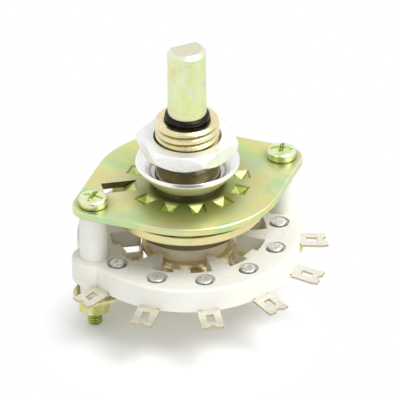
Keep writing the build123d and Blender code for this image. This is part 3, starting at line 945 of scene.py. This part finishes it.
@dataclass(frozen=True)
class Thread:
    """A right-hand thread about an upright axis, in millimetres; its groove is a share of the pitch."""

    radius: float
    start: float
    end: float
    pitch: float
    depth: float
    groove: float
    chamfer: float
    rows: int
    grows_from: float = -math.inf

    def band(self, angle: np.ndarray) -> tuple[np.ndarray, np.ndarray]:
        """The threaded length, from its start to its end.

        The radius is the crest's less the depth times g^2 (3 - 2g), and no more than the chamfer leaves
        at the end. With d the distance of the phase, z / pitch - angle / turn, from the middle of its
        pitch, g falls from 1 at d = 0 to 0 at half the groove's share. The depth grows from nothing over
        one pitch above the level that it grows from.

        Args:
            angle: one for each column, in radians.

        Returns:
            Radius and level, rows by columns.
        """
        level = np.linspace(self.start, self.end, self.rows)[:, None]
        away = np.abs((level / self.pitch - angle / FULL_TURN) % 1.0 - 0.5)
        groove = smooth(np.clip(1.0 - 2.0 * away / self.groove, 0.0, 1.0))
        depth = self.depth * np.clip((level - self.grows_from) / self.pitch, 0.0, 1.0)
        chamfered = self.radius - np.clip(self.chamfer - np.abs(self.end - level), 0.0, None)
        return np.minimum(self.radius - depth * groove, chamfered), level + 0.0 * angle


@dataclass
class PanelHardware:
    """The threaded bush with its nut and washer, in millimetres."""

    bore_r: float = 3.05
    bore_sink: float = 0.4
    spigot_r: float = 4.2
    spigot_bottom: float = -1.1
    shoulder_r: float = 5.2
    shoulder_ease: float = 0.12
    thread: Thread = Thread(
        radius=4.95, start=0.75, end=11.2, pitch=1.25, depth=0.55, groove=0.60, chamfer=0.45, rows=172,
        grows_from=4.9,
    )
    rim_ease: Pair = (0.1, 0.04)
    bush_columns: int = 144
    bush_crease_deg: float = 38.0
    washer_hole_r: float = 5.05
    washer_r: float = 8.1
    washer_h: float = 3.2
    washer_t: float = 0.65
    washer_floor_r: float = 5.95
    washer_wall_deg: float = 50.0
    washer_columns: int = 160
    washer_crease_deg: float = 40.0
    lip_fall: float = 0.46
    lip_width: float = 0.20
    flare_at: Pair = (6.80, 2.42)
    corner_reach: tuple[float, ...] = (0.08, 0.30, 0.08, 0.08, 0.05, 0.05, 0.60, 0.35, 0.08)
    corner_points: int = 7
    nut_bottom: float = 4.4
    nut_t: float = 3.7
    nut_flats: int = 6
    nut_half_flats: float = 7.0
    nut_base_r: float = 5.75
    nut_sink: float = 0.3
    nut_play: float = 0.02
    nut_turn_deg: float = 24.2
    nut_chamfer_deg: float = 30.0
    nut_drop: float = 0.06
    nut_ease: float = 0.12
    nut_band: float = 0.1
    nut_top_band: float = 0.25
    nut_columns: int = 288
    nut_crease_deg: float = 24.0
    corner_power: float = 70.0

    def bush(self) -> bpy.types.Object:
        """The bush: a spigot, a shoulder, the thread from the shoulder up and a countersunk mouth.

        The thread grows from a level inside the nut, so the length in the dished washer is plain.

        Returns:
            The piece.
        """
        angle = columns(self.bush_columns)
        shoulder, top = self.thread.start, self.thread.end
        mouth_r = self.bore_r + self.bore_sink
        below = (
            (self.bore_r, self.spigot_bottom),
            (self.spigot_r, self.spigot_bottom),
            (self.spigot_r, 0.0),
            (self.shoulder_r, 0.0),
            (self.shoulder_r, shoulder - self.shoulder_ease),
            (self.shoulder_r - self.shoulder_ease, shoulder),
        )
        above = (
            (mouth_r + self.rim_ease[0], top),
            (mouth_r, top - self.rim_ease[1]),
            (self.bore_r, top - self.bore_sink),
        )
        grid = around(angle, spread(below, angle), self.thread.band(angle), spread(above, angle))
        return make_piece("threaded_bush_cut", [grid], looped=True, crease_deg=self.bush_crease_deg)

    def washer(self) -> bpy.types.Object:
        """The dished washer: a flat floor, a wall that flares inside and a lip that the press has rounded.

        Its outline has the washer's thickness square to the wall, and its corners are parabolas.

        Returns:
            The piece.
        """
        lean = math.radians(self.washer_wall_deg)
        slope = math.tan(lean)
        wall = self.washer_floor_r - self.washer_t / math.sin(lean)
        corners = (
            (self.washer_hole_r, 0.0),
            (self.washer_floor_r, 0.0),
            (self.washer_r, (self.washer_r - self.washer_floor_r) * slope),
            (self.washer_r, self.washer_h - self.lip_fall),
            (self.washer_r - self.lip_width, self.washer_h),
            (wall + self.washer_h / slope, self.washer_h),
            self.flare_at,
            (wall + self.washer_t / slope, self.washer_t),
            (self.washer_hole_r, self.washer_t),
        )
        outline = rounded(corners, self.corner_reach, self.corner_points) + np.array([0.0, self.thread.start])
        angle = columns(self.washer_columns)
        grid = around(angle, spread(outline, angle))
        return make_piece("mounting_washer_pressed", [grid], looped=True, crease_deg=self.washer_crease_deg)

    def nut(self) -> bpy.types.Object:
        """The hexagon nut, chamfered, countersunk and standing on a round base.

        Its radius is half the flats over the p-norm of the cosines to the six flats, so the corners are
        a little round. The upper chamfer falls from the flats to the corners at its own angle, and the
        lower one rises as far as it leaves the base.

        Returns:
            The piece.
        """
        angle = columns(self.nut_columns)
        flats = columns(self.nut_flats) + FULL_TURN / (2 * self.nut_flats) + math.radians(self.nut_turn_deg)
        cosines = np.clip(np.cos(angle[:, None] - flats), 0.0, None)
        hexagon = self.nut_half_flats / np.sum(cosines**self.corner_power, axis=1) ** (1 / self.corner_power)
        hexagon = hexagon * (self.nut_half_flats / hexagon.min())
        fall = math.tan(math.radians(self.nut_chamfer_deg))
        bottom, top = self.nut_bottom, self.nut_bottom + self.nut_t
        lower = bottom + hexagon - self.nut_base_r
        upper = top - (hexagon - self.nut_half_flats) * fall - self.nut_drop
        bore = self.thread.radius + self.nut_play
        sink = bore + self.nut_sink
        rows = (
            (bore, bottom + self.nut_sink),
            (sink, bottom),
            (self.nut_base_r - self.nut_ease, bottom),
            (self.nut_base_r, bottom),
            (hexagon, lower),
            (hexagon, lower + self.nut_band),
            (hexagon, upper - self.nut_band),
            (hexagon, upper),
            (self.nut_half_flats - self.nut_ease, top),
            (self.nut_half_flats - self.nut_top_band, top),
            (sink, top),
            (bore, top - self.nut_sink),
        )
        grid = around(angle, spread(rows, angle))
        return make_piece("mounting_nut_formed", [grid], looped=True, crease_deg=self.nut_crease_deg)

    def build(self) -> None:
        """Makes and settles the three pieces."""
        settle(self.bush(), TAN_ZINC, "threaded_bush")
        settle(self.washer(), WASHER_PLATE, "mounting_washer")
        settle(self.nut(), NUT_PLATE, "mounting_nut")


@dataclass
class ClampScrews:
    """The two clamp screws with cross-recess heads and threaded ends, in millimetres."""

    from_axis: float = 16.0
    head_r: float = 2.25
    head_side: float = 0.9
    head_dome: float = 0.75
    head_ease: float = 0.10
    head_drop: float = 0.06
    recess_half_w: float = 0.34
    recess_half_l: float = 1.62
    recess_depth: float = 1.0
    recess_wall: float = 0.24
    recess_lead: float = 0.12
    turns_deg: Pair = (40.0, 58.0)
    cap_split: Pair = (1.8, 1.84)
    cap_rows: tuple[int, int] = (46, 10)
    thread: Thread = Thread(
        radius=1.15, start=-17.0, end=-21.6, pitch=0.45, depth=0.22, groove=0.8, chamfer=0.3, rows=96
    )
    thread_lead: float = 0.05
    around_columns: int = 144
    crease_deg: float = 40.0

    def head_height(self, radius: np.ndarray, angle: np.ndarray, turn: float) -> np.ndarray:
        """Height of the head's top.

        It is an elliptic dome less the recess. With d the larger of |across| - half width and |along| -
        half length of the nearer bar of the cross, the recess deepens smoothly as d falls below 0.

        Args:
            radius: distance from the screw's axis.
            angle: angle round it.
            turn: how far the cross is turned, in radians.

        Returns:
            The height above the seat.
        """
        dome = self.head_side + self.head_dome * np.sqrt(np.clip(1 - (radius / self.head_r) ** 2, 0.0, None))
        along = np.abs(radius * np.cos(angle - turn))
        across = np.abs(radius * np.sin(angle - turn))
        first = np.maximum(across - self.recess_half_w, along - self.recess_half_l)
        second = np.maximum(along - self.recess_half_w, across - self.recess_half_l)
        inside = np.clip(self.recess_lead - np.minimum(first, second) / self.recess_wall, 0.0, 1.0)
        return dome - self.recess_depth * smooth(inside)

    def one(self, centre: float, turn: float) -> np.ndarray:
        """One screw as a single grid, from the middle of its head to the tip of its shank.

        Args:
            centre: the screw's place along X.
            turn: how far its cross is turned, in radians.

        Returns:
            Rows by columns by 3.
        """
        angle = columns(self.around_columns)
        inner = np.linspace(0.0, self.cap_split[0], self.cap_rows[0])
        outer = np.linspace(self.cap_split[1], self.head_r, self.cap_rows[1])
        cap_r = np.concatenate([inner, outer])[:, None] + 0.0 * angle
        side = (
            (self.head_r, self.head_side - self.head_drop),
            (self.head_r, self.head_ease),
            (self.head_r - self.head_ease, 0.0),
            (self.thread.radius, 0.0),
            (self.thread.radius, self.thread.start + self.thread_lead),
        )
        tip = ((0.0, self.thread.end),)
        cap = (cap_r, self.head_height(cap_r, angle, turn))
        grid = around(angle, cap, spread(side, angle), self.thread.band(angle), spread(tip, angle))
        return grid + np.array([centre, 0.0, 0.0])

    def build(self) -> None:
        """Makes both screws as one piece and settles it."""
        places = zip((-self.from_axis, self.from_axis), self.turns_deg)
        grids = [self.one(centre, math.radians(turn)) for centre, turn in places]
        made = make_piece("clamp_screws_threaded", grids, looped=False, crease_deg=self.crease_deg)
        settle(made, SCREW_ZINC, "clamp_screws")


@dataclass
class ContactRivets:
    """The rivets that hold the terminals, their heads crimped into a rough star, in millimetres."""

    circle_r: float = 14.2
    first_deg: float = 165.0
    step_deg: float = 30.0
    count: int = 7
    head_r: float = 1.4
    head_h: float = 0.5
    head_rows: int = 26
    dome_power: int = 8
    seat: float = -9.6
    shank_r: float = 0.9
    tail: float = -13.2
    tail_bands: tuple[Pair, Pair] = ((0.1, 0.25), (0.35, 0.5))
    turn: float = 2.4
    dent: float = 0.07
    dent_r: float = 0.50
    dent_swing: float = 0.10
    dent_lobes: int = 3
    arms: int = 4
    arm_share: float = 0.55
    arm_rise: float = 3.0
    lip_h: float = 0.035
    lip_r: float = 0.82
    lip_w: float = 0.16
    lip_turn: float = 1.7
    lip_lobes: int = 5
    lip_power: int = 3
    around_columns: int = 64
    crease_deg: float = 50.0

    def heads(self, radius: np.ndarray, angle: np.ndarray) -> np.ndarray:
        """Heights of all the heads.

        A head is a flat dome, h (1 - (r / R)^8), less a dent that falls off as exp(-(r / w)^2) and is
        deeper along the arms of a star, plus a crumpled lip round it. Each rivet's star is turned and
        crumpled differently.

        Args:
            radius: distance from the rivet's axis, down a column.
            angle: angle round it.

        Returns:
            Rivets by rows by columns.
        """
        turn = (np.arange(self.count) * self.turn)[:, None, None]
        share = radius / self.head_r
        arms = self.arm_share * np.cos(self.arms * angle + turn) * np.clip(share * self.arm_rise, 0.0, 1.0)
        width = self.dent_r + self.dent_swing * np.cos(self.dent_lobes * angle - turn)
        dent = self.dent * (1.0 + arms) * np.exp(-((radius / width) ** 2))
        crumple = self.lip_h * np.cos(self.lip_lobes * angle + self.lip_turn * turn)
        lip = crumple * np.exp(-(((radius - self.lip_r) / self.lip_w) ** 2)) * (1.0 - share**self.lip_power)
        return self.seat + self.head_h * (1.0 - share**self.dome_power) - dent + lip

    def build(self) -> None:
        """Makes all the rivets as one piece and settles it."""
        angle = columns(self.around_columns)
        radius = np.linspace(0.0, self.head_r, self.head_rows)[:, None]
        top = self.heads(radius, angle)
        bands = [(self.head_r - inset, self.tail - fall) for inset, fall in self.tail_bands]
        under = (
            (self.head_r, self.seat),
            (self.shank_r, self.seat),
            (self.shank_r, self.tail),
            (self.head_r, self.tail),
            *bands,
            (0.0, bands[-1][1]),
        )
        shanks = [np.tile(part, (self.count, 1, 1)) for part in spread(under, angle)]
        round_axis = np.radians(self.first_deg + self.step_deg * np.arange(self.count))
        centres = self.circle_r * np.stack([np.cos(round_axis), np.sin(round_axis), 0 * round_axis], axis=-1)
        grids = around(angle, (np.broadcast_to(radius, top.shape), top), shanks) + centres[:, None, None, :]
        made = make_piece("contact_rivets_crimped", list(grids), looped=False, crease_deg=self.crease_deg)
        settle(made, RIVET_METAL, "contact_rivets")


@dataclass
class PackedPieces:
    """The CAD nodes that keep their own shape and get a finish."""

    throws: int = 6

    def dressed(self) -> tuple[tuple[Finish, tuple[str, ...]], ...]:
        """Which finish goes where.

        Returns:
            Each finish with the nodes that wear it.
        """
        sides = ("left", "right")
        spacers = tuple(f"{place}_spacer_{side}" for place in ("upper", "lower") for side in sides)
        throws = tuple(f"throw_terminal_{i + 1}" for i in range(self.throws))
        return (
            (SHAFT_ZINC, ("shaft",)),
            (PLATE_ZINC, ("index_plate",)),
            (STRAP_ZINC, ("rear_strap", "clamp_nuts")),
            (DISC_ZINC, ("detent_disc",)),
            (BLACK_STEEL, ("retaining_ring",)),
            (CERAMIC, ("stator", *spacers)),
            (SHADED_DRUM_CERAMIC, ("rotor_drum",)),
            (PHENOLIC, ("insulating_disc",)),
            (SPRING_STEEL, ("detent_spring",)),
            (BALL_STEEL, ("detent_ball_a", "detent_ball_b")),
            (CONTACT_GOLD, ("rotor_contact",)),
            (TERMINAL_STRIP, ("common_terminal", *throws)),
        )

    def build(self) -> None:
        """Puts one material of each finish on all of its nodes."""
        for finish, nodes in self.dressed():
            material = finish.material()
            for node in nodes:
                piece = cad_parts[node]
                if not piece.material_slots:
                    piece.data.materials.append(material)
                for slot in piece.material_slots:
                    slot.material = material
                log.info("%s wears %s", node, finish.name)


@dataclass(frozen=True)
class Lamp:
    """One square soft lamp that looks at the object, in millimetres and watts."""

    name: str
    place: Triple
    side: float
    watts: float
    mirrored: bool

    def hang(self) -> None:
        """Adds the lamp to the scene; metal shows it only if it is mirrored."""
        light = bpy.data.lights.new(self.name, "AREA")
        light.size = self.side * MM
        light.energy = self.watts
        made = put(self.name, light)
        made.location = Vector(self.place) * MM
        made.visible_glossy = self.mirrored
        made.rotation_euler = (-Vector(self.place)).to_track_quat("-Z", "Y").to_euler()


@dataclass
class Studio:
    """Pale floor, soft lamps, white surroundings and the camera, in millimetres and degrees."""

    floor_level: float = -21.6
    floor_half: float = 900.0
    floor_colour: Colour = (0.90, 0.90, 0.905)
    floor_lift: Colour = (0.10, 0.10, 0.10)
    shadow_centre: Pair = (-1.5, 10.0)
    shadow_reach: Pair = (12.0, 23.0)
    ambient: float = 0.60
    dim_elevation_deg: float = 16.0
    dim_cosines: Pair = (0.80, 0.95)
    dim_level: float = 0.28
    lamps: tuple[Lamp, ...] = (
        Lamp("key_lamp", (140.0, -165.0, 362.0), side=240.0, watts=1.26, mirrored=True),
        Lamp("front_lamp", (-200.0, -380.0, 240.0), side=320.0, watts=0.16, mirrored=False),
    )
    azimuth_deg: float = -24.8
    elevation_deg: float = 32.0
    roll_deg: float = 0.5
    px_per_mm: float = 6.5
    image_px: float = 400.0
    distance: float = 1500.0
    aim_right: float = 1.85
    aim_up: float = -3.12
    sensor: float = 36.0
    clip_end: float = 10000.0

    def side(self, elevation_deg: float) -> Triple:
        """The direction from the object to the camera's side.

        Args:
            elevation_deg: how far it rises from level.

        Returns:
            A vector of length 1.
        """
        azimuth, elevation = math.radians(self.azimuth_deg), math.radians(elevation_deg)
        flat = math.cos(elevation)
        return math.sin(azimuth) * flat, -math.cos(azimuth) * flat, math.sin(elevation)

    def floor(self) -> None:
        """A flat floor that keeps the shadow near the object and turns white away from it."""
        edge = np.array([-self.floor_half, self.floor_half])
        x, y = np.meshgrid(edge, edge, indexing="ij")
        points = np.stack([x, y, np.full_like(x, self.floor_level)], axis=-1).reshape(-1, 3) * MM
        mesh = bpy.data.meshes.new("studio_floor")
        mesh.from_pydata(points.tolist(), [], [(0, 2, 3, 1)])
        material = bpy.data.materials.new("pale_floor")
        material.use_nodes = True
        net = Net(material.node_tree)
        seen, _ = net.seen()
        across, ahead = self.shadow_centre
        front_x, front_y, _ = self.side(0.0)
        centre = (ahead * front_x - across * front_y, ahead * front_y + across * front_x)
        away = net.radius(net.place(), centre)
        lit = net.node("ShaderNodeBsdfDiffuse", {}, {"Color": rgba(self.floor_colour)})
        lift = net.node("ShaderNodeEmission", {}, {"Color": rgba(self.floor_lift), "Strength": 1.0})
        white = net.node("ShaderNodeEmission", {}, {"Color": rgba(WHITE), "Strength": 1.0})
        near = net.node("ShaderNodeAddShader", {}, {0: lit, 1: lift})
        open_floor = seen * away.step(*self.shadow_reach)
        mixed = net.node("ShaderNodeMixShader", {}, {0: open_floor, 1: near, 2: white})
        net.node("ShaderNodeOutputMaterial", {}, {"Surface": mixed})
        mesh.materials.append(material)
        put("studio_floor", mesh)

    def surroundings(self) -> None:
        """White to the camera, white with a darker camera side to mirrors, and softer as a light.

        A mirror's white falls to the dim level as the cosine between its direction and the camera's side
        goes from the first to the second dim cosine.
        """
        world = bpy.data.worlds.new("white_studio")
        world.use_nodes = True
        bpy.context.scene.world = world
        net = Net(world.node_tree)
        seen, mirrored = net.seen()
        looking = net.node("ShaderNodeTexCoord", output="Generated")
        towards = net.vector("DOT_PRODUCT", looking, self.side(self.dim_elevation_deg), output=1)
        dimmed = mirrored * towards.step(*self.dim_cosines) * (1.0 - self.dim_level)
        strength = seen * (1.0 - self.ambient) + self.ambient - dimmed
        shown = net.node("ShaderNodeBackground", {}, {"Color": rgba(WHITE), "Strength": strength})
        net.node("ShaderNodeOutputWorld", {}, {"Surface": shown})

    def camera(self) -> None:
        """A long lens at the photograph's angle, aimed a little off the shaft as the photograph is."""
        azimuth = math.radians(self.azimuth_deg)
        back = Vector(self.side(self.elevation_deg))
        right = Vector((math.cos(azimuth), math.sin(azimuth), 0.0))
        up = back.cross(right)
        aim = right * self.aim_right + up * self.aim_up
        data = bpy.data.cameras.new("photo_camera")
        data.sensor_width = self.sensor
        data.lens = self.sensor * self.distance * self.px_per_mm / self.image_px
        data.clip_end = self.clip_end * MM
        made = put("photo_camera", data)
        turn = Matrix((right, up, back)).transposed() @ Matrix.Rotation(math.radians(-self.roll_deg), 3, "Z")
        made.matrix_world = Matrix.Translation((aim + back * self.distance) * MM) @ turn.to_4x4()
        bpy.context.scene.camera = made

    def build(self) -> None:
        """Sets up the whole studio."""
        self.floor()
        self.surroundings()
        for lamp in self.lamps:
            lamp.hang()
        self.camera()
        bpy.context.scene.view_settings.view_transform = "Standard"
        log.info("studio is set")


def main() -> None:
    """Builds every sub-assembly in order."""
    logging.basicConfig(level=logging.INFO, format="%(name)s: %(message)s")
    for assembly in (PackedPieces(), PanelHardware(), ClampScrews(), ContactRivets(), Studio()):
        assembly.build()
    bpy.context.view_layer.update()


if __name__ == "__main__":
    main()
